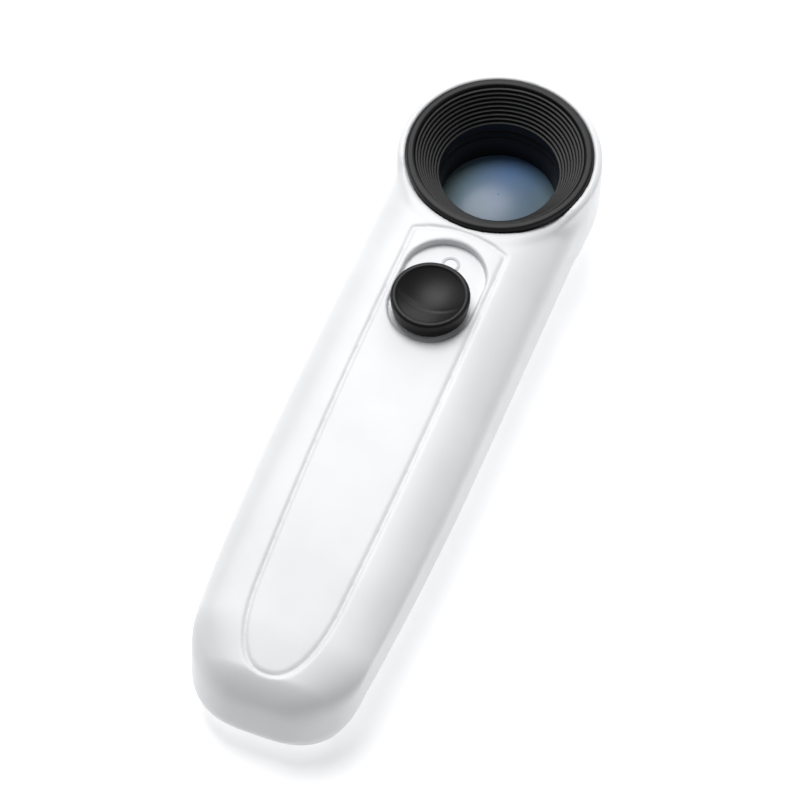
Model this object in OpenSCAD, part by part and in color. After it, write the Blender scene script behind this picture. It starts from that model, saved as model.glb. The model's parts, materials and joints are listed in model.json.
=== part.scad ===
// Hand-held low vision magnifier: a lit tube magnifier with a long rounded handle.
// Origin: where the optical axis meets the plane the magnifier rests on.
// +Z runs up the optical axis to the eye, +X runs along the handle to its tail.

/* [Housing] */
// Distance from the optical axis to the end of the tail
tail_x = 119.5; // [100:0.1:140]
// Half width of the handle at its widest
handle_hw = 18.1; // [14:0.1:24]
// Height of the handle's top just behind the eyepiece
handle_top = 21.7; // [16:0.1:30]
// Height of the widest line of the handle and head
waist_z = 12.85; // [8:0.05:18]
// Radius of the round head
head_r = 19; // [14:0.1:26]
// Height of the head's top face
head_top = 21; // [15:0.1:30]
// Wall thickness of both shells
wall = 1.8; // [1:0.1:3]
// Height of the seam between the shells
seam_z = 3.4; // [3:0.1:16]
// Squareness of the handle's cross-section
section_n = 3.6; // [2:0.1:5]

/* [Eyepiece and optics] */
// Outside radius of the eyepiece lip
lip_r = 17.3; // [12:0.1:22]
// Height of the eyepiece lip
lip_z = 22.6; // [18:0.1:30]
// Radius at the top of the funnel
funnel_r = 15.4; // [12:0.1:18]
// Radius of the throat
throat_r = 11.1; // [8:0.1:14]
// Number of fine steps down the funnel
funnel_steps = 9; // [4:1:14]
// Radius of the eye lens
eye_lens_r = 11.8; // [8:0.1:13]
// Radius of the field lens
field_lens_r = 10.1; // [6:0.1:12]
// Clear radius of the base ring
base_clear_r = 8.8; // [6:0.1:10]

/* [Switch] */
// Position of the knob's axis with the lamps off
knob_x = 35.2; // [30:0.1:40]
// Radius of the knob
knob_r = 7.2; // [5:0.1:10]
// Height of the knob's rim
knob_top = 24.4; // [20:0.1:30]
// How far the knob slides to turn the lamps on
knob_travel = 5.6; // [3:0.1:8]
// Height of the floor of the oval recess
recess_z = 20; // [16:0.1:24]
// Half width of the oval recess
recess_r = 7.7; // [6:0.1:11]

/* [Power] */
// Radius of an AAA cell
cell_r = 5.25; // [5:0.05:6]
// Length of an AAA cell without its nub
cell_len = 43.5; // [42:0.1:45]
// Distance of each cell's axis from the centre line
cell_y = 5.6; // [5:0.1:7]
// Height of the cells' axes
cell_z = 7.7; // [6:0.1:10]
// Half width of the battery cover
cover_hw = 11.4; // [8:0.1:13]
// Thickness of the battery cover
cover_t = 2.2; // [1.5:0.1:3]
// Head end of the battery cover
cover_x = 51; // [48:0.5:60]

/* [Show] */
// Sub-part to draw

/* [Hidden] */
$fn = 72;
eps = 0.01;
far = 300;               // larger than the whole magnifier
gap = 0.3;               // clearance between pieces that move past each other
snug = 0.1;              // clearance between pieces that stay together

neck_x = 4;              // the handle starts inside the head
wide_x = 55;             // the handle is widest here
taper = 0.0008;          // how fast the handle narrows towards the tail
side_cap_x = 106.5;      // the sides start to round in here
side_cap_n = 2.4;        // squareness of the rounding seen from above
top_cap_x = tail_x - 4.5; // the top starts to round in here
low_cap_x = tail_x - 7.5; // the bottom starts to round in here
end_cap_n = 2.2;         // squareness of the rounding seen from the side
end_draft = 0.26;        // lean of the tail's end wall
draft_z = 5;             // the end wall leans from this height up
draft_x = 103;           // and only beyond this distance
draft_run = 12;          // the lean eases in over this length
waist_drop = 5;          // the widest line sinks this far at the tail
waist_x = 104;           // and starts to sink here
waist_run = 13;
crown_x = 17;            // the top line starts to fall here
crown_slope = 0.026;     // steady part of that fall
crown_bend = 0.00041;    // part of the fall that grows towards the tail
belly_drop = 0.6;        // the section runs this far under the rest plane before it is cut
section_pts = 40;        // points round one cross-section
body_stations = concat(
    [neck_x, 17, 26, 36, 46, 56, 66, 75, 84, 91, 97, 101.5, 104.5, 107],
    [for (t = [9, 7.4, 6, 4.7, 3.6, 2.6, 1.8, 1.1, 0.6, 0.25, 0.02]) tail_x - t]);
bowl_r = 12.6;           // radius of the head's flat underside
bowl_steps = 10;
collar_top = 22.2;       // height of the collar behind the eyepiece
collar_x = 7.3;          // the collar stops here, on both sides of the handle

eyepiece_hole_r = 16.3;  // hole in the upper shell for the eyepiece ring
ring_body_r = eyepiece_hole_r - snug;
ring_low = 12.45;        // bottom of the eyepiece ring's tube
ring_tube_r = 12.6;      // outside radius of that tube
throat_z = 16.3;         // the funnel ends here
barrel_r = 13.4;         // outside radius of the lens barrel
barrel_top = 12.3;
barrel_low = 2.4;
lens_ledge_z = 5.9;      // shelf the eye lens rests on
lens_clear_r = 10.8;     // clear radius of the retaining ring
field_z = 3.9;           // flat face of the field lens
base_hole_r = 11.2;      // hole in the lower shell for the base ring
base_r = base_hole_r - snug;

recess_extra = 1.1;      // length of recess ahead of the knob when it is fully forward
slot_hw = 2.1;           // half width of the slot in the recess floor
post_r = 1.8;            // radius of the post that carries the knob
carriage_top = recess_z - wall - gap;
lever_hw = 0.9;          // half width of the switch's lever
switch_z = 10;           // top of the main board
switch_top = 13.8;       // top of the switch's case
window_x = 17.6;         // middle of the opening the lamps shine through
led_y = 4;               // distance of each lamp from the centre line
led_r = 1.5;

bay_x0 = 52.6;           // inside of the shell around the cells
bay_x1 = 105.2;
cell_x0 = 54.4;          // nub end of the left cell
spring_x1 = 103.8;       // contact face at the tail end
nub_len = 1;
nub_r = 1.9;
screw_x = 46.5;          // position of the two housing screws
screw_y = 9;
boss_r = 2.5;
wire_r = 0.5;
wire_y = 5.3;            // distance of each wire from the centre line
rib_x = [27.3, 39.1, 62.7, 80.9];

function sgnpow(v, p) = sign(v) * pow(abs(v), p);
function cap_k(x, x0, n) = x <= x0 ? 1 : pow(max(1 - pow((x - x0) / (tail_x - x0), n), 0), 1 / n);
function half_w(x) = (handle_hw - (x > wide_x ? taper * pow(x - wide_x, 2) : 0))
    * cap_k(x, side_cap_x, side_cap_n);
function crown(x) = handle_top - crown_slope * max(x - crown_x, 0)
    - crown_bend * pow(max(x - crown_x, 0), 2);
function ramp(t) = let (u = min(max(t, 0), 1)) u * u * (3 - 2 * u);
function lean(x, z) = end_draft * max(z - draft_z, 0) * ramp((x - draft_x) / draft_run);
function waist(x) = waist_z - waist_drop * ramp((x - waist_x) / waist_run);
function section(x, inset) = let (
        up = (crown(x) - waist(x)) * cap_k(x, top_cap_x, end_cap_n),
        down = (waist(x) + belly_drop) * cap_k(x, low_cap_x, end_cap_n),
        w = half_w(x))
    [for (i = [0:section_pts - 1]) let (
        a = (i + 0.5) * 360 / section_pts,
        c = sgnpow(cos(a), 2 / section_n),
        s = sgnpow(sin(a), 2 / section_n))
        [max(w - inset, 0.05) * c, waist(x) + max((s > 0 ? up : down) - inset, 0.05) * s]];

// Handle: one closed skin through rounded cross-sections.
module handle(inset) {
    rows = len(body_stations);
    m = section_pts;
    pts = [for (j = [0:rows - 1]) let (x = body_stations[j])
        for (p = section(x, inset))
            [x - lean(x, p[1]) - inset * pow((x - neck_x) / (tail_x - neck_x), 8), p[0], p[1]]];
    sides = [for (j = [0:rows - 2]) for (i = [0:m - 1]) let (
        n = (i + 1) % m,
        q = [j * m + i, j * m + n, (j + 1) * m + n, (j + 1) * m + i])
        each [[q[0], q[2], q[1]], [q[0], q[3], q[2]]]];
    polyhedron(
        points = pts,
        faces = concat(sides,
            [[for (i = [0:m - 1]) i]],
            [[for (i = [0:m - 1]) rows * m - 1 - i]]));
}

// Round head: a drum on a rounded bowl.
module head(inset) {
    r1 = head_r - inset;
    r0 = bowl_r - inset;
    z1 = head_top - inset;
    soft = 0.6;
    rotate_extrude()
        polygon(concat(
            [[0, inset], [r0, inset]],
            [for (i = [1:bowl_steps]) let (a = 90 - i * 90 / bowl_steps)
                [r0 + (r1 - r0) * cos(a), waist_z - (waist_z - inset) * sin(a)]],
            [[r1, z1 - soft], [r1 - soft, z1], [0, z1]]));
}

// Collar that rises round the back of the eyepiece, away from the handle.
module head_collar(inset) {
    soft = 0.7;
    r1 = head_r - inset;
    z1 = collar_top - inset;
    intersection() {
        rotate_extrude()
            polygon([[0, waist_z], [r1, waist_z], [r1, z1 - soft], [r1 - soft * 0.3, z1 - soft * 0.3],
                [r1 - soft, z1], [0, z1]]);
        translate([collar_x - far, -far / 2, 0]) cube([far, far, far]);
    }
}

module above(z) {
    translate([-far / 2, -far / 2, z]) cube([far, far, far]);
}

module body_outer() {
    intersection() {
        union() {
            handle(0);
            head(0);
            head_collar(0);
        }
        above(0);
    }
}

module body_inner() {
    intersection() {
        union() {
            handle(wall);
            head(wall);
        }
        above(wall);
    }
}

module stadium(x0, x1, r, z0, z1) {
    hull()
        for (x = [x0, x1])
            translate([x, 0, z0]) cylinder(r = r, h = z1 - z0);
}

// Outline of the soft line around the thumb panel, drawn in plan.
module panel_plan(grow) {
    arch_x = 18.6;
    panel_hw = 8.95;
    shoulder_x = 97;
    tip_x = 113;
    tip_r = 6.4;
    union() {
        polygon([
            [arch_x - grow, -panel_hw - grow],
            [arch_x - grow, panel_hw + grow],
            [shoulder_x, panel_hw + grow],
            [tip_x - tip_r, tip_r + 0.6 + grow],
            [tip_x - tip_r, -tip_r - 0.6 - grow],
            [shoulder_x, -panel_hw - grow]]);
        translate([tip_x - tip_r - 0.6, 0]) circle(r = tip_r + 0.6 + grow);
    }
}

module panel_line() {
    line_w = 0.35;
    depth = 0.25;
    intersection() {
        translate([0, 0, waist_z])
            linear_extrude(far / 10)
                difference() {
                    panel_plan(line_w);
                    panel_plan(0);
                }
        difference() {
            handle(-1);
            handle(depth);
        }
    }
}

module recess() {
    stadium(knob_x - knob_travel - recess_extra, knob_x, recess_r, recess_z, recess_z + 6);
    stadium(knob_x - knob_travel, knob_x, slot_hw + 0.1, recess_z - 6, recess_z + 1);
}

module recess_pan() {
    stadium(knob_x - knob_travel - recess_extra, knob_x, recess_r + wall, recess_z - wall, recess_z + 2);
}

// Thin cross ribs that stiffen a shell, each with rounded ends.
module ribs(xs, hy, z0, z1) {
    for (x = xs)
        for (s = [-1, 1])
            hull()
                for (y = [hy, hy + 3])
                    translate([x, s * y, z0]) cylinder(r = 0.5, h = z1 - z0, $fn = 24);
}

module bosses(z0, z1) {
    for (s = [-1, 1])
        translate([screw_x, s * screw_y, z0]) cylinder(r = boss_r, h = z1 - z0);
}

module boss_holes(z0, z1, r) {
    for (s = [-1, 1])
        translate([screw_x, s * screw_y, z0]) cylinder(r = r, h = z1 - z0);
}

module upper_shell() {
    color("white")
        difference() {
            intersection() {
                union() {
                    difference() {
                        body_outer();
                        body_inner();
                    }
                    intersection() {
                        body_outer();
                        union() {
                            recess_pan();
                            bosses(seam_z, far / 8);
                            ribs(rib_x, 12.5, waist_z + 2.6, far / 8);
                        }
                    }
                }
                above(seam_z + snug / 2);
            }
            translate([0, 0, waist_z]) cylinder(r = eyepiece_hole_r, h = 20);
            translate([0, 0, head_top]) cylinder(r = lip_r + snug, h = 20);
            recess();
            panel_line();
            boss_holes(seam_z - 1, waist_z + 3, 1.1);
        }
}

module cover_channel(extra) {
    rail = 0.6;
    translate([cover_x - extra, -cover_hw - extra, -1])
        cube([far, 2 * (cover_hw + extra), cover_t + 1 + extra]);
    translate([cover_x - extra, -cover_hw - rail - extra, 1.2 - extra])
        cube([far, 2 * (cover_hw + rail + extra), 0.8 + 2 * extra]);
}

module lower_shell() {
    window_hx = 4.1;
    window_hy = 7.6;
    color("white")
        difference() {
            intersection() {
                union() {
                    difference() {
                        body_outer();
                        body_inner();
                    }
                    bosses(wall - 0.4, seam_z);
                    intersection() {
                        body_outer();
                        ribs(rib_x, 10, 1, seam_z - 0.5);
                    }
                }
                difference() {
                    body_outer();
                    above(seam_z - snug / 2);
                }
            }
            translate([0, 0, -1]) cylinder(r = base_hole_r, h = 5);
            translate([window_x - window_hx, -window_hy, -1])
                cube([2 * window_hx, 2 * window_hy, 4]);
            cover_channel(gap);
            boss_holes(-1, 2.6, 2.2);
            boss_holes(-1, seam_z + 1, 1.2);
        }
}

module battery_cover() {
    grips = 8;
    color("white")
        difference() {
            intersection() {
                handle(0);
                cover_channel(0);
                above(0);
            }
            for (i = [0:grips - 1])
                hull()
                    for (y = [-5.5, 5.5])
                        translate([cover_x + 4 + i * 2, y, -1]) cylinder(r = 0.5, h = 1.5, $fn = 24);
        }
}

// Black stepped funnel with a flat rounded lip and a plain throat.
module eyepiece_ring() {
    lip_round = 0.7;
    dr = (funnel_r - throat_r) / funnel_steps;
    dz = (lip_z - 0.5 - throat_z) / funnel_steps;
    steps = [for (i = [0:funnel_steps - 1]) each [
        [funnel_r - i * dr, lip_z - 0.5 - i * dz],
        [funnel_r - (i + 1) * dr, lip_z - 0.5 - (i + 0.72) * dz]]];
    color([0.08, 0.08, 0.09])
        rotate_extrude($fn = 96)
            polygon(concat(
                [[funnel_r + 0.3, lip_z]],
                steps,
                [[throat_r, throat_z], [throat_r, 14.6], [throat_r + 0.4, 14.4],
                    [throat_r + 0.4, 13.9], [throat_r, 13.7], [throat_r, ring_low],
                    [ring_tube_r, ring_low], [ring_tube_r, throat_z - 1.6],
                    [ring_body_r, 18.4], [ring_body_r, head_top + snug],
                    [lip_r, head_top + snug], [lip_r, lip_z - lip_round],
                    [lip_r - lip_round * 0.3, lip_z - lip_round * 0.3],
                    [lip_r - lip_round, lip_z]]));
}

// Flat-backed lens: a thin flange with a spherical front of radius r_front on clear radius r.
module lens(z0, flange_r, flange_t, r, r_front) {
    centre_z = z0 + flange_t - sqrt(r_front * r_front - r * r);
    union() {
        translate([0, 0, z0]) cylinder(r = flange_r, h = flange_t, $fn = 96);
        intersection() {
            translate([0, 0, z0 + flange_t / 2]) cylinder(r = r, h = r, $fn = 96);
            translate([0, 0, centre_z]) sphere(r = r_front, $fn = 144);
        }
    }
}

module eye_lens() {
    color([0.35, 0.5, 0.65, 0.6])
        lens(lens_ledge_z + snug, eye_lens_r, 1.2, lens_clear_r - snug, 24);
}

module field_lens() {
    color([0.7, 0.8, 0.85, 0.5])
        lens(field_z, field_lens_r, 0.8, 9, 60);
}

module ring(r_out, r_in, z0, z1) {
    difference() {
        translate([0, 0, z0]) cylinder(r = r_out, h = z1 - z0, $fn = 96);
        translate([0, 0, z0 - 1]) cylinder(r = r_in, h = z1 - z0 + 2, $fn = 96);
    }
}

module lens_retainer() {
    low = lens_ledge_z + 1.4;
    color([0.15, 0.15, 0.16])
        rotate_extrude($fn = 96)
            polygon([[lens_clear_r, low], [eye_lens_r, low], [eye_lens_r, barrel_top],
                [throat_r, barrel_top], [lens_clear_r, barrel_top - 0.8]]);
}

module lens_barrel() {
    seat_r = eye_lens_r + snug;
    bore_r = field_lens_r + snug;
    foot_r = 11.8;
    foot_z = 5;
    color([0.12, 0.12, 0.13])
        rotate_extrude($fn = 96)
            polygon([[bore_r, barrel_low], [foot_r, barrel_low], [barrel_r, foot_z],
                [barrel_r, barrel_top], [seat_r, barrel_top], [seat_r, lens_ledge_z],
                [bore_r, lens_ledge_z]]);
}

module lens_spacer() {
    color([0.12, 0.12, 0.13])
        ring(field_lens_r, 9.3, field_z + 0.9, lens_ledge_z);
}

module base_ring() {
    color([0.1, 0.1, 0.11])
        difference() {
            union() {
                cylinder(r = base_r, h = 2.2, $fn = 96);
                cylinder(r = field_lens_r - snug, h = field_z - 0.1, $fn = 96);
            }
            translate([0, 0, -1]) cylinder(r = base_clear_r, h = 6, $fn = 96);
        }
}

module lamp_window() {
    color([0.85, 0.9, 0.92, 0.5])
        translate([window_x - 4, -7.5, 0.3]) cube([8, 15, 1.2]);
}

module led_board() {
    color([0.1, 0.4, 0.25])
        difference() {
            translate([14.4, -8, switch_z - 1]) cube([6.6, 16, 1]);
            for (s = [-1, 1])
                for (d = [-0.6, 0.6])
                    translate([window_x + d, s * led_y, 7]) cylinder(r = 0.3, h = 5, $fn = 24);
        }
}

module leds() {
    color([0.9, 0.92, 0.95])
        for (s = [-1, 1])
            translate([window_x, s * led_y, 0]) {
                translate([0, 0, 3.6]) cylinder(r = led_r, h = 3.4, $fn = 48);
                translate([0, 0, 3.6]) sphere(r = led_r, $fn = 48);
                translate([0, 0, 6.6]) cylinder(r = led_r + 0.4, h = 0.8, $fn = 48);
                for (d = [-0.6, 0.6])
                    translate([d, 0, 7.2]) cylinder(r = 0.22, h = 3.2, $fn = 24);
            }
}

// Round thumb knob with a raised rim around a dished top.
module switch_knob() {
    base_z = recess_z + 0.35;
    dish_r = 12;
    rim_w = 1.1;
    dish_drop = 1.5;
    in_r = knob_r - rim_w;
    color([0.1, 0.1, 0.11])
        translate([knob_x, 0, 0])
            difference() {
                rotate_extrude()
                    polygon([[0, base_z], [knob_r - 0.2, base_z], [knob_r, base_z + 0.3],
                        [knob_r, knob_top - 0.7], [knob_r - 0.2, knob_top - 0.2],
                        [knob_r - 0.7, knob_top], [0, knob_top]]);
                translate([0, 0, knob_top - dish_drop + dish_r])
                    intersection() {
                        sphere(r = dish_r, $fn = 144);
                        translate([0, 0, -dish_r]) cylinder(r = in_r, h = 20);
                    }
                translate([0, 0, base_z - 1]) cylinder(r = post_r + snug, h = 2.6, $fn = 48);
            }
}

module slide_carriage() {
    plate_t = 1.3;
    color([0.2, 0.2, 0.21])
        difference() {
            translate([knob_x, 0, 0])
                union() {
                    translate([-6, -5, carriage_top - plate_t]) cube([12, 10, plate_t]);
                    translate([0, 0, carriage_top - 0.5])
                        cylinder(r = post_r, h = recess_z + 2.2 - carriage_top, $fn = 48);
                    translate([-2.4, -2.4, switch_top + gap])
                        cube([4.8, 4.8, carriage_top - switch_top - gap - plate_t + eps]);
                }
            translate([knob_x - lever_hw - snug / 2, -lever_hw - snug / 2, switch_top])
                cube([2 * lever_hw + snug, 2 * lever_hw + snug, 2.4]);
        }
}

module switch_marks() {
    mark_h = 0.12;
    color([0.75, 0.76, 0.78])
        union() {
            translate([knob_x - 10.2, 0, recess_z])
                difference() {
                    cylinder(r = 1.7, h = mark_h);
                    translate([0, 0, -1]) cylinder(r = 1.2, h = 3);
                }
            translate([knob_x + 5, -1.7, recess_z]) cube([0.5, 3.4, mark_h]);
        }
}

module switch_body() {
    half_l = 7;
    mid_x = knob_x - knob_travel / 2;
    color([0.72, 0.73, 0.75])
        difference() {
            translate([mid_x - half_l, -3, switch_z + 0.05])
                cube([2 * half_l, 6, switch_top - switch_z - 0.05]);
            translate([mid_x - half_l + 1, -1.2, switch_z + 1.2])
                cube([2 * half_l - 2, 2.4, 5]);
        }
}

module switch_lever() {
    color([0.15, 0.15, 0.16])
        union() {
            translate([knob_x - lever_hw, -lever_hw, switch_z + 1.6])
                cube([2 * lever_hw, 2 * lever_hw, switch_top - switch_z + 0.6]);
            translate([knob_x - 2, -0.9, switch_z + 1.6]) cube([4, 1.8, 1]);
        }
}

module main_board() {
    color([0.1, 0.42, 0.26])
        difference() {
            translate([23.5, -6, switch_z - 1.6]) cube([25, 12, 1.6]);
            for (x = [26.4, 38.8])
                for (s = [-1, 1])
                    translate([x, s * 4.6, 0]) cylinder(r = 0.5, h = 20, $fn = 24);
        }
}

module resistor() {
    color([0.85, 0.75, 0.5])
        translate([44.6, 0, switch_z + 1.1])
            rotate([90, 0, 0])
                union() {
                    translate([0, 0, -2]) cylinder(r = 0.9, h = 4, $fn = 36);
                    translate([0, 0, -3.6]) cylinder(r = 0.25, h = 7.2, $fn = 24);
                }
}

// Tub that holds the cells, open towards the cover.
module battery_cradle() {
    skin = 0.8;
    low = 3.7;
    hy = cell_y + cell_r + 0.3;
    roof = cell_z + cell_r + 0.2;
    color([0.16, 0.16, 0.17])
        difference() {
            translate([bay_x0, -hy - skin, low])
                cube([bay_x1 - bay_x0, 2 * (hy + skin), roof + skin - low]);
            translate([bay_x0 + skin, -hy, -1])
                cube([bay_x1 - bay_x0 - 2 * skin, 2 * hy, roof + 1]);
            for (s = [-1, 1])
                translate([bay_x0 - 1, s * wire_y, switch_z + wire_r + 1.15])
                    rotate([0, 90, 0]) cylinder(r = 0.7, h = 4, $fn = 24);
        }
}

module cell(x0, s) {
    translate([x0, s * cell_y, cell_z])
        rotate([0, s > 0 ? 90 : -90, 0])
            union() {
                cylinder(r = cell_r, h = cell_len);
                translate([0, 0, cell_len - eps]) cylinder(r = nub_r, h = nub_len, $fn = 48);
            }
}

module battery_left() {
    color([0.2, 0.35, 0.6])
        cell(cell_x0 + nub_len + cell_len, -1);
}

module battery_right() {
    color([0.2, 0.35, 0.6])
        cell(spring_x1 - nub_len - cell_len - 0.1, 1);
}

module contact_spring(x0, x1, y) {
    wire = 0.35;
    turns = 5;
    dx = (x1 - x0 - 2 * wire) / (turns - 1);
    for (i = [0:turns - 1])
        translate([x0 + wire + i * dx, y, cell_z])
            rotate([0, 90, 0])
                rotate_extrude($fn = 48)
                    translate([3.6 - i * 0.35, 0]) circle(r = wire, $fn = 16);
    for (a = [0, 120, 240])
        translate([x0, y, cell_z])
            rotate([a, 0, 0])
                translate([0.3, 0, 3.6])
                    rotate([0, 90 + atan((turns - 1) * 0.35 / (x1 - x0 - 2 * wire)), 0])
                        cylinder(r = wire * 0.9, h = x1 - x0 - wire, $fn = 16);
}

module contact_springs() {
    head_x = cell_x0 - 0.1;
    color([0.8, 0.8, 0.82])
        union() {
            contact_spring(head_x, spring_x1 - nub_len - cell_len - 0.15, cell_y);
            mirror([1, 0, 0])
                contact_spring(-spring_x1 - 0.05, -cell_x0 - nub_len - cell_len - 0.05, -cell_y);
        }
}

module contact_plates() {
    t = 0.3;
    color([0.82, 0.82, 0.84])
        union() {
            for (s = [-1, 1])
                translate([cell_x0 - 0.15 - t, s * cell_y - 4.2, cell_z - 4.2]) cube([t, 8.4, 8.4]);
            translate([spring_x1 + 0.1, -cell_y - 4.2, cell_z - 4.2])
                cube([t, 2 * cell_y + 8.4, 8.4]);
        }
}

// A straight run of insulated wire between two points.
module wire_run(from, to) {
    d = to - from;
    translate(from)
        rotate([0, acos(d[2] / norm(d)), atan2(d[1], d[0])])
            cylinder(r = wire_r, h = norm(d), $fn = 48);
}

module wire_pair(s) {
    lift = switch_z + wire_r + 0.05;
    wire_run([46, s * wire_y, lift], [bay_x0 - snug, s * wire_y, lift + 1.1]);
    wire_run([19, s * led_y, lift], [25, s * led_y, lift]);
}

module wire_red() {
    color([0.75, 0.1, 0.08])
        wire_pair(-1);
}

module wire_black() {
    color([0.08, 0.08, 0.08])
        wire_pair(1);
}

module housing_screws() {
    color([0.6, 0.6, 0.62])
        for (s = [-1, 1])
            translate([screw_x, s * screw_y, 0])
                difference() {
                    union() {
                        translate([0, 0, 1]) cylinder(r = 2, h = 1.5, $fn = 48);
                        translate([0, 0, 1]) cylinder(r = 1, h = 14.5, $fn = 36);
                    }
                    translate([-1.3, -0.25, 0]) cube([2.6, 0.5, 1.7]);
                    translate([-0.25, -1.3, 0]) cube([0.5, 2.6, 1.7]);
                }
}

upper_shell();
lower_shell();
eyepiece_ring();
eye_lens();
lens_retainer();
lens_barrel();
lens_spacer();
field_lens();
base_ring();
lamp_window();
led_board();
leds();
switch_knob();
slide_carriage();
switch_marks();
switch_body();
switch_lever();
main_board();
resistor();
battery_cradle();
battery_left();
battery_right();
contact_springs();
contact_plates();
battery_cover();
wire_red();
wire_black();
housing_screws();
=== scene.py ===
import bpy, json, math
import numpy as np
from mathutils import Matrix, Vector


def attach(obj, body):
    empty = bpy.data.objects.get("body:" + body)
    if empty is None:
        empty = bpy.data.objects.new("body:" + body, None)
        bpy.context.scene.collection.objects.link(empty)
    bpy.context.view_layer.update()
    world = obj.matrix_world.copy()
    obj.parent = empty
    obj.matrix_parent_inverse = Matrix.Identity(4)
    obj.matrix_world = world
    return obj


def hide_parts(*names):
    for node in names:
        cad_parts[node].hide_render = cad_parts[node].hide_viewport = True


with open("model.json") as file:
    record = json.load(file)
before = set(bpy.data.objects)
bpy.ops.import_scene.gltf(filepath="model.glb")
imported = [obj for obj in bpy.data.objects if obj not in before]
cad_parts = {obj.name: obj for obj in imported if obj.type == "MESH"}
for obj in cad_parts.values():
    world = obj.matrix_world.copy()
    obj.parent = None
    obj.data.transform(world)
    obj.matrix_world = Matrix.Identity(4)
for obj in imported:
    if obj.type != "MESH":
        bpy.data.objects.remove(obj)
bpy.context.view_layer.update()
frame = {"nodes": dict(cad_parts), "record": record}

MM = 0.001
# Housing shape in millimetres, the same curves as the CAD part
TAIL, HW, TOP, WAIST = 119.5, 18.1, 21.7, 12.85
HEAD_R, HEAD_TOP, BOWL_R, WALL, SEAM = 19.0, 21.0, 12.6, 1.8, 3.4
COLLAR_RISE, COLLAR_X, COLLAR_SOFT = 1.2, 8.2, 1.1
NECK_X, WIDE_X, TAPER = 4, 55, 0.0008
CROWN_X, CROWN_SLOPE, CROWN_BEND = 17, 0.026, 0.00041
NSEC = 3.6
SIDE_CAP_X, SIDE_CAP_N = 106.5, 2.4
TOP_CAP, LOW_CAP, END_CAP_N = 4.5, 7.5, 2.2
CAP_OVERRUN = 0.4        # the caps aim past the tail, which is then cut off softly
CAP_MIN = 0.03
DRAFT, DRAFT_Z, DRAFT_X, DRAFT_RUN = 0.26, 5, 103, 12
WAIST_DROP, WAIST_X, WAIST_RUN = 5.0, 104, 13
BELLY = 0.6              # the section runs this far under the rest plane
# Eyepiece, lens seat, knob, recess and the panel line
LIP_R, LIP_Z, FUNNEL_R, THROAT_R, THROAT_Z = 17.3, 22.6, 15.6, 11.1, 16.3
STEPS = 9
RING_R, TUBE_R, RING_LOW, LENS_SEAT_R, LENS_CLEAR_R = 16.3, 12.6, 12.45, 11.8, 10.8
KNOB_X, KNOB_R, KNOB_TOP, TRAVEL = 35.2, 7.2, 24.4, 5.6
REC_Z, REC_R, REC_EXTRA, SLOT_HW = 20.0, 7.7, 1.1, 2.2
PANEL_HW, PANEL_ROUND, PANEL_TIP, PANEL_N = 8.95, 97.0, 113.0, 2.4
PANEL_ARCH, PANEL_TAPER_X, PANEL_TAPER = 18.6, 45, 0.00042
# Underside
SCREW_X, SCREW_Y, BOSS_R = 46.5, 9.0, 2.5
COVER_X, COVER_HW, COVER_T, RAIL, GAP = 51.0, 11.4, 2.2, 0.6, 0.3
RAIL_LOW, RAIL_HIGH = 1.2, 2.0
GRIPS, GRIP_X, GRIP_PITCH, GRIP_R, GRIP_HW = 8, 55, 2, 0.5, 5.5
# Insides
CELL_Y, CELL_Z = 5.6, 7.7
PAST_END = 200           # past the tail, for cuts that run out of it
OUTSIDE = 9              # a distance well outside the shape


# ---------------------------------------------------------------- implicit shapes
def cap_k(x, x0, n):
    t = np.clip((x - x0) / (TAIL + CAP_OVERRUN - x0), 0, 1)
    return np.maximum(1 - t ** n, 0) ** (1 / n)


def smax(a, b, k):
    h = np.maximum(k - np.abs(a - b), 0) / k
    return np.maximum(a, b) + h * h * h * k / 6


def smin(a, b, k):
    return -smax(-a, -b, k)


def crown(x):
    u = np.maximum(x - CROWN_X, 0)
    return TOP - CROWN_SLOPE * u - CROWN_BEND * u * u


def ramp01(t):
    u = np.clip(t, 0, 1)
    return u * u * (3 - 2 * u)


def handle_d(X, Y, Z, h):
    """Approximate signed distance to the handle: squarish sections that round off into the tail."""
    x = X + DRAFT * np.maximum(Z - DRAFT_Z, 0) * ramp01((X - DRAFT_X) / DRAFT_RUN)
    waist = WAIST - WAIST_DROP * ramp01((x - WAIST_X) / WAIST_RUN)
    narrow = np.where(x > WIDE_X, TAPER * (x - WIDE_X) ** 2, 0)
    w = (HW - narrow) * np.maximum(cap_k(x, SIDE_CAP_X, SIDE_CAP_N), CAP_MIN)
    up = (crown(x) - waist) * np.maximum(cap_k(x, TAIL - TOP_CAP, END_CAP_N), CAP_MIN)
    down = (waist + BELLY) * np.maximum(cap_k(x, TAIL - LOW_CAP, END_CAP_N), CAP_MIN)
    dz = Z - waist
    hz = np.where(dz > 0, up, down)
    G = ((np.abs(Y) / w) ** NSEC + (np.abs(dz) / hz) ** NSEC) ** (1 / NSEC)
    gx, gy, gz = np.gradient(G, h)
    g = np.sqrt(gx * gx + gy * gy + gz * gz)
    d = np.clip((G - 1) / np.maximum(g, 0.02), -6, 6)
    return np.maximum(smax(d, x - TAIL, 0.7), NECK_X - X)


def head_d(X, Y, Z):
    """Approximate signed distance to the round head, with the collar that rises behind the eyepiece."""
    rr = np.hypot(X, Y)
    u = np.clip((WAIST - Z) / WAIST, 0, 0.999)
    R = BOWL_R + (HEAD_R - BOWL_R) * np.sqrt(1 - u * u)
    slope = (HEAD_R - BOWL_R) * u / np.sqrt(1 - u * u) / WAIST
    side = (rr - R) / np.sqrt(1 + slope * slope)
    top = HEAD_TOP + COLLAR_RISE / (1 + np.exp(np.clip((X - COLLAR_X) / COLLAR_SOFT, -30, 30)))
    return smax(side, Z - top, 1.6)


def stad(X, Y, x0, x1, r):
    return np.hypot(X - np.clip(X, x0, x1), Y) - r


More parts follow.
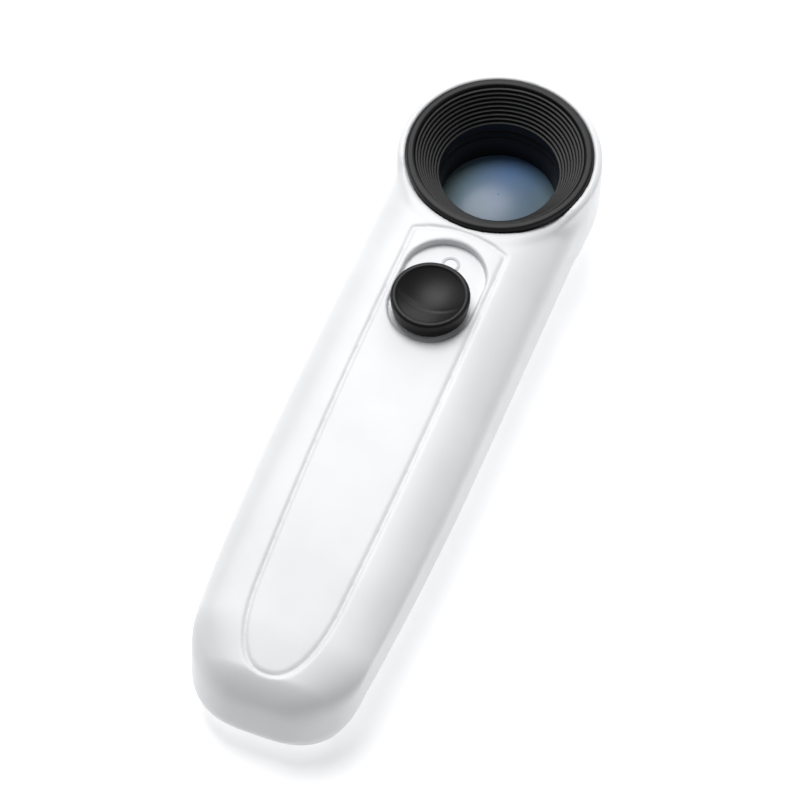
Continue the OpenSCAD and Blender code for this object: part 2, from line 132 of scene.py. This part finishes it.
def box_d(X, Y, Z, lo, hi):
    c = [(a + b) / 2 for a, b in zip(lo, hi)]
    e = [(b - a) / 2 for a, b in zip(lo, hi)]
    q = [np.abs(P - c[i]) - e[i] for i, P in enumerate((X, Y, Z))]
    return np.maximum(np.maximum(q[0], q[1]), q[2])


def panel_edge(X, Y):
    """Approximate signed distance in plan to the soft line round the thumb panel."""
    u = np.clip((X - PANEL_ROUND) / (PANEL_TIP - PANEL_ROUND), 0, 1.4)
    w = PANEL_HW - PANEL_TAPER * np.maximum(X - PANEL_TAPER_X, 0) ** 2
    G = (np.abs(Y / w) ** PANEL_N + u ** PANEL_N) ** (1 / PANEL_N)
    gx, gy = np.gradient(G[:, :, 0], X[1, 0, 0] - X[0, 0, 0])
    g = np.maximum(np.hypot(gx, gy), 0.03)[:, :, None]
    arch = PANEL_ARCH + 0.024 * Y * Y - X
    return smax((G - 1) / g, arch, 0.8)


def grid(lo, hi, h):
    n = [int(round((b - a) / h)) + 1 for a, b in zip(lo, hi)]
    ax = [np.float32(a) + np.arange(m, dtype=np.float32) * np.float32(h) for a, m in zip(lo, n)]
    return ax[0][:, None, None], ax[1][None, :, None], ax[2][None, None, :]


def surface_nets(f, lo, h):
    """Turns samples of a distance function into a mesh of quads, one vertex for each crossed cell."""
    nx, ny, nz = f.shape
    s = (f < 0).astype(np.uint8)
    c = np.zeros((nx - 1, ny - 1, nz - 1), np.uint8)
    offs = [(i, j, k) for i in (0, 1) for j in (0, 1) for k in (0, 1)]
    for i, j, k in offs:
        c += s[i:nx - 1 + i, j:ny - 1 + j, k:nz - 1 + k]
    cells = np.argwhere((c > 0) & (c < 8))
    vals = {o: f[cells[:, 0] + o[0], cells[:, 1] + o[1], cells[:, 2] + o[2]] for o in offs}
    acc = np.zeros((len(cells), 3))
    cnt = np.zeros(len(cells))
    for a in offs:
        for ax in range(3):
            if a[ax] == 0:
                b = tuple(1 if i == ax else a[i] for i in range(3))
                fa, fb = vals[a], vals[b]
                m = (fa < 0) != (fb < 0)
                t = fa[m] / (fa[m] - fb[m])
                p = np.tile(np.array(a, float), (m.sum(), 1))
                p[:, ax] = t
                acc[m] += p
                cnt[m] += 1
    verts = (cells + acc / cnt[:, None]) * h + np.array(lo)
    ids = -np.ones(c.shape, np.int32)
    ids[cells[:, 0], cells[:, 1], cells[:, 2]] = np.arange(len(cells))
    quads = []
    for ax in range(3):
        sl0 = [slice(1, -1)] * 3
        sl1 = [slice(1, -1)] * 3
        sl0[ax] = slice(0, f.shape[ax] - 1)
        sl1[ax] = slice(1, f.shape[ax])
        a, b = s[tuple(sl0)], s[tuple(sl1)]
        e = np.argwhere(a != b)
        sign = a[e[:, 0], e[:, 1], e[:, 2]] == 1
        base = e + 1
        base[:, ax] -= 1
        u, v = (ax + 1) % 3, (ax + 2) % 3
        q = []
        for du, dv in ((1, 1), (0, 1), (0, 0), (1, 0)):
            cc = base.copy()
            cc[:, u] -= du
            cc[:, v] -= dv
            q.append(ids[cc[:, 0], cc[:, 1], cc[:, 2]])
        q = np.stack(q, 1)
        q[~sign] = q[~sign][:, ::-1]
        quads.append(q)
    return verts, np.concatenate(quads)


def mesh_obj(name, verts, faces, smooth=True):
    me = bpy.data.meshes.new(name)
    verts = np.asarray(verts, np.float32)
    faces = np.asarray(faces, np.int32)
    k = faces.shape[1]
    me.vertices.add(len(verts))
    me.vertices.foreach_set("co", verts.ravel())
    me.loops.add(faces.size)
    me.loops.foreach_set("vertex_index", faces.ravel())
    me.polygons.add(len(faces))
    me.polygons.foreach_set("loop_start", np.arange(0, faces.size, k, dtype=np.int32))
    me.polygons.foreach_set("use_smooth", np.full(len(faces), smooth))
    me.update(calc_edges=True)
    me.validate()
    o = bpy.data.objects.new(name, me)
    bpy.context.scene.collection.objects.link(o)
    return o


def implicit_obj(name, fn, lo, hi, h):
    X, Y, Z = grid(lo, hi, h)
    f = np.ascontiguousarray(fn(X, Y, Z, h).astype(np.float32))
    f[0], f[-1] = OUTSIDE, OUTSIDE
    f[:, 0], f[:, -1] = OUTSIDE, OUTSIDE
    f[:, :, 0], f[:, :, -1] = OUTSIDE, OUTSIDE
    v, q = surface_nets(f, lo, h)
    return mesh_obj(name, v * MM, q)


def shell_d(X, Y, Z, h):
    """The body cut flat on the rest plane, and the hollow inside it."""
    body = smin(handle_d(X, Y, Z, h), head_d(X, Y, Z), 2.0)
    skin = smax(body, -Z + 0 * body, 0.5)
    inner = np.maximum(body + WALL, WALL - Z)
    return skin, inner


def upper_fn(X, Y, Z, h):
    skin, inner = shell_d(X, Y, Z, h)
    e = panel_edge(X, Y)
    groove = 0.22 * np.exp(-(e / 0.42) ** 2) + 0.08 / (1 + np.exp(np.clip(e / 0.25, -30, 30)))
    skin = skin + groove * (Z > WAIST)
    front = KNOB_X - TRAVEL - REC_EXTRA
    pan = np.maximum(stad(X, Y, front, KNOB_X, REC_R + WALL), REC_Z - WALL - Z)
    shell = np.maximum(skin, -np.minimum(inner, OUTSIDE))
    shell = np.minimum(shell, np.maximum(skin, pan))
    cut = np.maximum(stad(X, Y, front, KNOB_X, REC_R), REC_Z - Z)
    shell = smax(shell, -cut, 0.7)
    shell = np.maximum(shell, -stad(X, Y, KNOB_X - TRAVEL, KNOB_X, SLOT_HW))
    hole = np.hypot(X, Y) - RING_R
    shell = np.maximum(shell, -(hole + 0 * Z))
    seat = np.maximum(np.hypot(X, Y) - (LIP_R + 0.12), HEAD_TOP - Z)
    shell = smax(shell, -seat, 0.5)
    return smax(shell, SEAM + 0.06 - Z, 0.35)


def channel_d(X, Y, Z, extra):
    """The battery cover's channel with its side grooves, grown by extra on every side."""
    side = COVER_HW + extra
    ch = box_d(X, Y, Z, (COVER_X - extra, -side, -3), (PAST_END, side, COVER_T + extra))
    rail = side + RAIL
    groove = box_d(X, Y, Z, (COVER_X - extra, -rail, RAIL_LOW - extra), (PAST_END, rail, RAIL_HIGH + extra))
    return np.minimum(ch, groove)


def lower_fn(X, Y, Z, h):
    skin, inner = shell_d(X, Y, Z, h)
    shell = np.maximum(skin, -inner)
    for s in (-1, 1):
        from_screw = np.hypot(X - SCREW_X, Y - s * SCREW_Y)
        boss = from_screw - BOSS_R
        shell = np.minimum(shell, np.maximum(np.maximum(boss, 1.0 - Z), Z - SEAM))
        shell = smax(shell, -np.maximum(from_screw - 2.25, Z - 2.5), 0.4)
        shell = np.maximum(shell, -(from_screw - 1.2 + 0 * Z))
    shell = smax(shell, -(np.maximum(np.hypot(X, Y) - 11.25, Z - 4)), 0.4)
    shell = smax(shell, -box_d(X, Y, Z, (13.5, -7.6, -3), (21.7, 7.6, 3.2)), 0.4)
    shell = smax(shell, -channel_d(X, Y, Z, GAP), 0.3)
    return smax(shell, Z - SEAM + 0.06, 0.35)


def cover_fn(X, Y, Z, h):
    body = smax(handle_d(X, Y, Z, h), -Z, 0.5)
    d = smax(body, channel_d(X, Y, Z, 0), 0.3)
    for i in range(GRIPS):
        groove = np.hypot(X - (GRIP_X + i * GRIP_PITCH), Y - np.clip(Y, -GRIP_HW, GRIP_HW)) - GRIP_R
        d = smax(d, -np.maximum(groove, Z - GRIP_R), 0.3)
    return d


H = 0.3
upper = implicit_obj("shell_top", upper_fn, (-20.1, -20.1, 2.4), (121.8, 20.1, 23.1), H)
lower = implicit_obj("shell_bottom", lower_fn, (-20.1, -20.1, -0.9), (121.8, 20.1, 4.5), H)
cover = implicit_obj("battery_door", cover_fn, (50.1, -13.2, -0.9), (121.8, 13.2, 3.3), H)


# ---------------------------------------------------------------- lathe
def lathe(name, profile, seg=256, centre=(0, 0)):
    p = np.array(profile, float)
    n = len(p)
    a = np.arange(seg) * 2 * math.pi / seg
    v = np.empty((seg, n, 3))
    v[:, :, 0] = centre[0] + p[None, :, 0] * np.cos(a)[:, None]
    v[:, :, 1] = centre[1] + p[None, :, 0] * np.sin(a)[:, None]
    v[:, :, 2] = p[None, :, 1]
    i, j = np.meshgrid(np.arange(seg), np.arange(n), indexing="ij")
    i2, j2 = (i + 1) % seg, (j + 1) % n
    q = np.stack([i * n + j, i2 * n + j, i2 * n + j2, i * n + j2], -1).reshape(-1, 4)
    return mesh_obj(name, v.reshape(-1, 3) * MM, q)


def rounded(points, r=0.12, steps=4):
    """Rounds every corner of a closed profile with a small quadratic arc."""
    p = [np.array(q, float) for q in points]
    out = []
    n = len(p)
    for i in range(n):
        a, b, c = p[i - 1], p[i], p[(i + 1) % n]
        la, lc = np.linalg.norm(a - b), np.linalg.norm(c - b)
        ra = min(r, la * 0.45)
        rc = min(r, lc * 0.45)
        s, e = b + (a - b) / la * ra, b + (c - b) / lc * rc
        for k in range(steps + 1):
            t = k / steps
            out.append((1 - t) ** 2 * s + 2 * t * (1 - t) * b + t * t * e)
    return out


def eyepiece_prof():
    """Throat with one groove, then fine steps up the funnel to a flat lip."""
    dr, dz = (FUNNEL_R - THROAT_R) / STEPS, (LIP_Z - 0.5 - THROAT_Z) / STEPS
    prof = [(THROAT_R, RING_LOW), (THROAT_R, 13.7), (THROAT_R + 0.4, 13.9), (THROAT_R + 0.4, 14.4),
            (THROAT_R, 14.6), (THROAT_R, THROAT_Z)]
    for i in range(STEPS - 1, -1, -1):
        r0, z0 = FUNNEL_R - (i + 1) * dr, LIP_Z - 0.5 - (i + 1) * dz
        prof += [(r0, z0 + 0.62 * dz), (r0 + 0.30 * dr, z0 + 0.70 * dz),
                 (r0 + 0.92 * dr, z0 + 0.72 * dz), (r0 + dr, z0 + dz)]
    prof += [(FUNNEL_R + 0.2, LIP_Z - 0.1), (FUNNEL_R + 0.5, LIP_Z), (LIP_R - 0.5, LIP_Z),
             (LIP_R - 0.12, LIP_Z - 0.12), (LIP_R, LIP_Z - 0.5), (LIP_R, HEAD_TOP + 0.1),
             (RING_R - 0.1, HEAD_TOP + 0.1), (RING_R - 0.1, 18.4), (TUBE_R, THROAT_Z - 1.6),
             (TUBE_R, RING_LOW)]
    return prof


eyepiece = lathe("eyepiece", rounded(eyepiece_prof()[::-1], 0.10)[::-1])


def lens_prof(z0, flange_r, flange_t, r, front, n=48):
    """Flat-backed lens: a thin flange under a spherical front."""
    c = z0 + flange_t - math.sqrt(front * front - r * r)
    dome = [(a, c + math.sqrt(front * front - a * a)) for a in np.linspace(0.02, r, n)]
    return dome + [(flange_r, z0 + flange_t), (flange_r, z0), (0.02, z0)]


eye = lathe("front_lens", lens_prof(6.0, LENS_SEAT_R, 1.2, LENS_CLEAR_R - 0.1, 24)[::-1])
field = lathe("back_lens", lens_prof(3.9, 10.1, 0.8, 9.0, 60)[::-1])
retainer_prof = [(LENS_CLEAR_R, 7.3), (LENS_SEAT_R, 7.3), (LENS_SEAT_R, 12.3), (THROAT_R, 12.3),
                 (LENS_CLEAR_R, 11.5)]
retainer = lathe("lens_ring", rounded(retainer_prof, 0.1))



def knob_mesh():
    """Thumb knob: a raised rim round a dished top, with a low ridge across the dish."""
    rings, seg = [], 192
    base = REC_Z + 0.35
    for r, z in ((2.2, base), (KNOB_R - 0.75, base), (KNOB_R - 0.6, base + 0.08), (KNOB_R - 0.5, base + 0.3)):
        rings.append((r, z))
    for z in np.linspace(base + 0.6, KNOB_TOP - 0.8, 8):
        rings.append((KNOB_R - 0.4 * ((KNOB_TOP - 0.8 - z) / 3.0) ** 1.5, z))
    for t in np.linspace(0, 1, 9):
        a = t * math.pi / 2
        rings.append((KNOB_R - 0.6 + 0.6 * math.cos(a), KNOB_TOP - 0.6 + 0.6 * math.sin(a)))
    for r in np.linspace(KNOB_R - 0.75, 0.05, 90):
        rings.append((r, None))
    a = np.arange(seg) * 2 * math.pi / seg
    V = []
    for r, z in rings:
        x, y = r * np.cos(a), r * np.sin(a)
        if z is None:
            edge = KNOB_R - 1.0
            u = np.clip(r / edge, 0, 1)
            zz = KNOB_TOP - 1.45 * (1 - u * u) * np.ones(seg)
            s = np.clip((edge + 0.25 - r) / 0.5, 0, 1)
            zz -= 0.12 * s * s * (3 - 2 * s)
            zz += 0.16 * np.exp(-((x - 2.6 + 0.05 * y * y) / 0.45) ** 2) * (1 - u ** 4)
        else:
            zz = np.full(seg, z)
        V.append(np.stack([KNOB_X + x, y, zz], 1))
    V = np.concatenate(V)
    n = len(rings)
    i, j = np.meshgrid(np.arange(n - 1), np.arange(seg), indexing="ij")
    j2 = (j + 1) % seg
    q = np.stack([i * seg + j, i * seg + j2, (i + 1) * seg + j2, (i + 1) * seg + j], -1).reshape(-1, 4)
    return mesh_obj("thumb_knob", V * MM, q)


knob = knob_mesh()


def ring_mark():
    r, w, h = 1.45, 0.26, 0.12
    prof = rounded([(r - w, REC_Z), (r + w, REC_Z), (r + w, REC_Z + h), (r - w, REC_Z + h)], 0.05)
    return lathe("mark_o", prof, 96, (KNOB_X - 10.2, 0))


def bar_mark():
    lo, hi = (KNOB_X + 5.0, -1.7, REC_Z), (KNOB_X + 5.5, 1.7, REC_Z + 0.12)
    v = [(x, y, z) for x in (lo[0], hi[0]) for y in (lo[1], hi[1]) for z in (lo[2], hi[2])]
    q = [(0, 1, 3, 2), (4, 6, 7, 5), (0, 4, 5, 1), (2, 3, 7, 6), (0, 2, 6, 4), (1, 5, 7, 3)]
    o = mesh_obj("mark_i", np.array(v) * MM, q, False)
    m = o.modifiers.new("b", "BEVEL")
    m.width, m.segments = 0.00005, 2
    return o


mark_o, mark_i = ring_mark(), bar_mark()


def helix(name, x0, x1, y, z, r0, r1, turns, wire):
    """Conical contact spring along X, with closed end turns."""
    seg, ring = int(turns * 40), 10
    V = []
    for i in range(seg + 1):
        t = i / seg
        a = 2 * math.pi * turns * t
        u = np.clip((t - 0.12) / 0.76, 0, 1)
        r = r0 + (r1 - r0) * t
        c = np.array([x0 + (x1 - x0) * u, y + r * math.cos(a), z + r * math.sin(a)])
        nrm = np.array([0, math.cos(a), math.sin(a)])
        for k in range(ring):
            b = 2 * math.pi * k / ring
            V.append(c + wire * (math.cos(b) * nrm + math.sin(b) * np.array([1.0, 0, 0])))
    q = []
    for i in range(seg):
        for k in range(ring):
            k2 = (k + 1) % ring
            q.append((i * ring + k, i * ring + k2, (i + 1) * ring + k2, (i + 1) * ring + k))
    return mesh_obj(name, np.array(V) * MM, q)


spring_a = helix("spring_head_end", 54.7, 58.9, CELL_Y, CELL_Z, 3.6, 2.2, 5, 0.34)
spring_b = helix("spring_tail_end", 103.4, 99.2, -CELL_Y, CELL_Z, 3.6, 2.2, 5, 0.34)


# ---------------------------------------------------------------- materials
class Nodes:
    def __init__(self, name):
        self.m = bpy.data.materials.new(name)
        self.m.use_nodes = True
        self.t = self.m.node_tree
        self.b = self.t.nodes["Principled BSDF"]
        self.coord = self.add("ShaderNodeTexCoord").outputs["Object"]

    def add(self, kind, **kw):
        n = self.t.nodes.new(kind)
        for k, v in kw.items():
            setattr(n, k, v)
        return n

    def link(self, a, b):
        self.t.links.new(a, b)

    def noise(self, scale, detail=3.0, vec=None, rough=0.5):
        n = self.add("ShaderNodeTexNoise")
        n.inputs["Scale"].default_value = scale
        n.inputs["Detail"].default_value = detail
        n.inputs["Roughness"].default_value = rough
        self.link(vec or self.coord, n.inputs["Vector"])
        return n.outputs["Fac"]

    def ramp(self, fac, stops):
        r = self.add("ShaderNodeValToRGB")
        e = r.color_ramp.elements
        e[0].position, e[0].color = stops[0][0], (*stops[0][1], 1)
        e[1].position, e[1].color = stops[-1][0], (*stops[-1][1], 1)
        for p, c in stops[1:-1]:
            x = e.new(p)
            x.color = (*c, 1)
        self.link(fac, r.inputs["Fac"])
        return r.outputs["Color"]

    def span(self, fac, lo, hi):
        m = self.add("ShaderNodeMapRange")
        m.inputs["To Min"].default_value = lo
        m.inputs["To Max"].default_value = hi
        self.link(fac, m.inputs["Value"])
        return m.outputs["Result"]

    def bump(self, height, strength, distance):
        n = self.add("ShaderNodeBump")
        n.inputs["Strength"].default_value = strength
        n.inputs["Distance"].default_value = distance
        self.link(height, n.inputs["Height"])
        self.link(n.outputs["Normal"], self.b.inputs["Normal"])

    def set(self, **kw):
        for k, v in kw.items():
            self.b.inputs[k.replace("_", " ")].default_value = v


def plastic(name, lo, hi, r0, r1, grain=5200.0, strength=0.15, depth=0.00003, **kw):
    n = Nodes(name)
    n.link(n.ramp(n.noise(60, 4), [(0.3, lo), (0.7, hi)]), n.b.inputs["Base Color"])
    n.link(n.span(n.noise(220, 3), r0, r1), n.b.inputs["Roughness"])
    n.bump(n.noise(grain, 2), strength, depth)
    n.set(**kw)
    return n.m


white = plastic("white_shell", (0.81, 0.817, 0.828), (0.87, 0.874, 0.882), 0.30, 0.38, 3200, 0.10, 0.00002)
black = plastic("black_plastic", (0.005, 0.005, 0.0055), (0.008, 0.008, 0.0085), 0.34, 0.44,
                4200, 0.20, 0.00003, Specular_IOR_Level=0.22)
knob_black = plastic("knob_black", (0.0045, 0.0045, 0.005), (0.008, 0.008, 0.0085), 0.34, 0.48,
                     5200, 0.35, 0.00003, Specular_IOR_Level=0.22)
grey = plastic("dark_grey_plastic", (0.016, 0.016, 0.017), (0.024, 0.024, 0.025), 0.40, 0.55,
               Specular_IOR_Level=0.3)
# Painted shade: the O and I marks are raised in the same white as the shell, and this grey stands in for the
# shading that shows them, not for print.
marks_painted_shade = plastic("grey_print", (0.58, 0.60, 0.63), (0.66, 0.68, 0.70), 0.4, 0.5)
board = plastic("circuit_board", (0.015, 0.10, 0.045), (0.03, 0.16, 0.08), 0.3, 0.5, 900, 0.3)
epoxy = plastic("led_epoxy", (0.75, 0.78, 0.80), (0.85, 0.87, 0.88), 0.08, 0.15)
resin = plastic("resistor_body", (0.42, 0.30, 0.14), (0.55, 0.42, 0.22), 0.35, 0.5)
red = plastic("red_wire", (0.35, 0.02, 0.015), (0.45, 0.035, 0.02), 0.35, 0.5)
blackw = plastic("black_wire", (0.012, 0.012, 0.012), (0.02, 0.02, 0.02), 0.4, 0.5)


def metal(name, lo, hi, r0, r1):
    n = Nodes(name)
    mp = n.add("ShaderNodeMapping")
    mp.inputs["Scale"].default_value = (20, 900, 900)
    n.link(n.coord, mp.inputs["Vector"])
    n.link(n.ramp(n.noise(4, 3, mp.outputs["Vector"]), [(0.3, lo), (0.7, hi)]), n.b.inputs["Base Color"])
    n.link(n.span(n.noise(5, 3, mp.outputs["Vector"]), r0, r1), n.b.inputs["Roughness"])
    n.bump(n.noise(6, 2, mp.outputs["Vector"]), 0.1, 0.00002)
    n.set(Metallic=1.0)
    return n.m


steel = metal("plated_steel", (0.55, 0.55, 0.57), (0.72, 0.72, 0.74), 0.22, 0.4)
nickel = metal("nickel_wire", (0.6, 0.6, 0.62), (0.75, 0.75, 0.77), 0.15, 0.3)
zinc = metal("screw_steel", (0.5, 0.5, 0.52), (0.66, 0.66, 0.68), 0.25, 0.45)


def jacket():
    n = Nodes("cell_jacket")
    sep = n.add("ShaderNodeSeparateXYZ")
    n.link(n.coord, sep.inputs[0])
    w = n.add("ShaderNodeMapRange")
    w.inputs["From Min"].default_value = 0.054
    w.inputs["From Max"].default_value = 0.104
    n.link(sep.outputs["X"], w.inputs["Value"])
    c = n.ramp(w.outputs["Result"], [
        (0.0, (0.5, 0.5, 0.52)), (0.03, (0.5, 0.5, 0.52)), (0.04, (0.02, 0.06, 0.20)),
        (0.72, (0.03, 0.08, 0.24)), (0.73, (0.30, 0.32, 0.34)),
        (0.97, (0.28, 0.30, 0.32)), (1.0, (0.5, 0.5, 0.52))])
    n.link(c, n.b.inputs["Base Color"])
    n.link(n.span(n.noise(300, 3), 0.2, 0.35), n.b.inputs["Roughness"])
    n.bump(n.noise(700, 3), 0.1, 0.00003)
    n.set(Metallic=0.4)
    return n.m


def coated_glass():
    """Coated lens with painted reflection: the base colour paints a broad blue coating reflection in the
    middle that turns grey green towards both sides, and towards +X a paler grey painted view of the floor
    through the glass.
    """
    n = Nodes("coated_lens")
    sep = n.add("ShaderNodeSeparateXYZ")
    n.link(n.coord, sep.inputs[0])
    side = n.add("ShaderNodeMath", operation="ABSOLUTE")
    n.link(sep.outputs["Y"], side.inputs[0])
    gy = n.add("ShaderNodeMapRange")
    gy.inputs["From Max"].default_value = 0.0105
    n.link(side.outputs[0], gy.inputs["Value"])
    gx = n.add("ShaderNodeMapRange")
    gx.inputs["From Min"].default_value = -0.010
    gx.inputs["From Max"].default_value = 0.010
    n.link(sep.outputs["X"], gx.inputs["Value"])
    # Painted reflection: the blue coating reflection, greyer green towards both sides.
    painted_coating_reflection = n.ramp(gy.outputs["Result"], [
        (0.0, (0.12, 0.22, 0.42)), (0.45, (0.13, 0.22, 0.35)), (1.0, (0.19, 0.27, 0.28))])
    # Painted view through the lens: paler grey where the floor shows through the glass.
    low = n.ramp(gy.outputs["Result"], [
        (0.0, (0.24, 0.30, 0.37)), (0.5, (0.21, 0.28, 0.33)), (1.0, (0.20, 0.27, 0.27))])
    # Blends along X from the painted reflection to the painted view through the lens.
    mix = n.add("ShaderNodeMixRGB")
    n.link(n.ramp(gx.outputs["Result"], [(0.15, (0, 0, 0)), (0.95, (1, 1, 1))]), mix.inputs["Fac"])
    n.link(painted_coating_reflection, mix.inputs["Color1"])
    n.link(low, mix.inputs["Color2"])
    n.link(mix.outputs["Color"], n.b.inputs["Base Color"])
    n.link(n.span(n.noise(90, 3), 0.30, 0.36), n.b.inputs["Roughness"])
    n.bump(n.noise(160, 2), 0.03, 0.00002)
    n.set(IOR=1.5, Specular_IOR_Level=0.30, Transmission_Weight=0.12, Coat_Weight=0.10, Coat_Roughness=0.28)
    return n.m


def clear(name, tint):
    n = Nodes(name)
    pale = tuple(min(1, c * 1.05) for c in tint)
    n.link(n.ramp(n.noise(70, 2), [(0.3, tint), (0.7, pale)]), n.b.inputs["Base Color"])
    n.link(n.span(n.noise(150, 3), 0.02, 0.06), n.b.inputs["Roughness"])
    n.bump(n.noise(200, 2), 0.03, 0.00002)
    n.set(IOR=1.5, Transmission_Weight=0.9)
    return n.m


lens_mat = coated_glass()
glass = clear("clear_lens", (0.80, 0.86, 0.88))
window = clear("clear_plastic", (0.84, 0.88, 0.90))
MATS = {"white_shell": white, "black_plastic": black, "dark_grey_plastic": grey, "coated_lens": lens_mat,
        "clear_lens": glass, "clear_plastic": window, "circuit_board": board, "led_epoxy": epoxy,
        "resistor_body": resin, "grey_print": marks_painted_shade, "plated_steel": steel, "nickel_wire": nickel,
        "cell_jacket": jacket(), "red_wire": red, "black_wire": blackw, "screw_steel": zinc}

for sub in frame["record"]["subparts"]:
    o = frame["nodes"][sub["node"]]
    m = MATS[sub["material_slot"]]
    o.data.materials.clear()
    o.data.materials.append(m)


def piece(o, body, mat, slot, *nodes):
    o.data.materials.append(mat)
    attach(o, body)
    if nodes:
        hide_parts(*nodes)


piece(upper, "housing", white, "white_shell", "upper_shell")
piece(lower, "housing", white, "white_shell", "lower_shell")
piece(cover, "cover", white, "white_shell", "battery_cover")
piece(eyepiece, "housing", black, "black_plastic", "eyepiece_ring")
piece(eye, "housing", lens_mat, "coated_lens", "eye_lens")
piece(field, "housing", glass, "clear_lens", "field_lens")
piece(retainer, "housing", grey, "dark_grey_plastic", "lens_retainer")
piece(knob, "slider", knob_black, "black_plastic", "switch_knob")
piece(mark_o, "housing", marks_painted_shade, "grey_print", "switch_marks")
piece(mark_i, "housing", marks_painted_shade, "grey_print")
piece(spring_a, "housing", nickel, "nickel_wire", "contact_springs")
piece(spring_b, "housing", nickel, "nickel_wire")


# ---------------------------------------------------------------- stage
def floor_mat():
    n = Nodes("floor")
    tones = [(0.3, (0.90, 0.90, 0.905)), (0.7, (0.92, 0.92, 0.925))]
    n.link(n.ramp(n.noise(3, 2), tones), n.b.inputs["Base Color"])
    n.set(Roughness=0.6, Emission_Color=(1, 1, 1, 1), Emission_Strength=0.45)
    return n.m


FLOOR_Z, FLOOR_HALF = -0.0002, 3
corners = [(x * FLOOR_HALF, y * FLOOR_HALF, FLOOR_Z) for x, y in ((-1, -1), (1, -1), (1, 1), (-1, 1))]
floor = mesh_obj("floor", corners, [(0, 1, 2, 3)], False)
floor.data.materials.append(floor_mat())


def area(name, loc, target, size, power):
    d = bpy.data.lights.new(name, "AREA")
    d.shape, d.energy, d.size = "DISK", power, size
    o = bpy.data.objects.new(name, d)
    o.location = loc
    o.rotation_euler = (Vector(target) - Vector(loc)).to_track_quat("-Z", "Y").to_euler()
    bpy.context.scene.collection.objects.link(o)


CENTRE = (0.05, 0, 0.01)
area("key_overhead", (-0.30, -0.25, 0.80), CENTRE, 0.6, 6.1)
area("back_soft", (-0.80, -0.1, 0.40), (0.0, 0, 0.02), 0.6, 2.5)
area("left_fill", (0.0, -0.80, 0.30), CENTRE, 0.6, 1.0)
area("right_fill", (-0.15, 0.80, 0.35), CENTRE, 0.7, 0.7)

world = bpy.data.worlds.new("studio")
world.use_nodes = True
bg = world.node_tree.nodes["Background"]
bg.inputs["Color"].default_value = (0.95, 0.97, 1.0, 1)
bg.inputs["Strength"].default_value = 0.20
bpy.context.scene.world = world
bpy.context.scene.view_settings.view_transform = "Standard"

AZ, EL, DIST = math.radians(111.512), math.radians(56.862), 0.7233
back = Vector((math.sin(AZ) * math.cos(EL), -math.cos(AZ) * math.cos(EL), math.sin(EL)))
cam_d = bpy.data.cameras.new("photo_camera")
cam_d.lens, cam_d.sensor_width = 181.0, 36.0
cam_d.clip_start, cam_d.clip_end = 0.05, 20
cam = bpy.data.objects.new("photo_camera", cam_d)
target = Vector((0.050, 0, 0.0108))
cam.location = target + back * DIST
cam.rotation_euler = (-back).to_track_quat("-Z", "Y").to_euler()
bpy.context.scene.collection.objects.link(cam)
bpy.context.scene.camera = cam
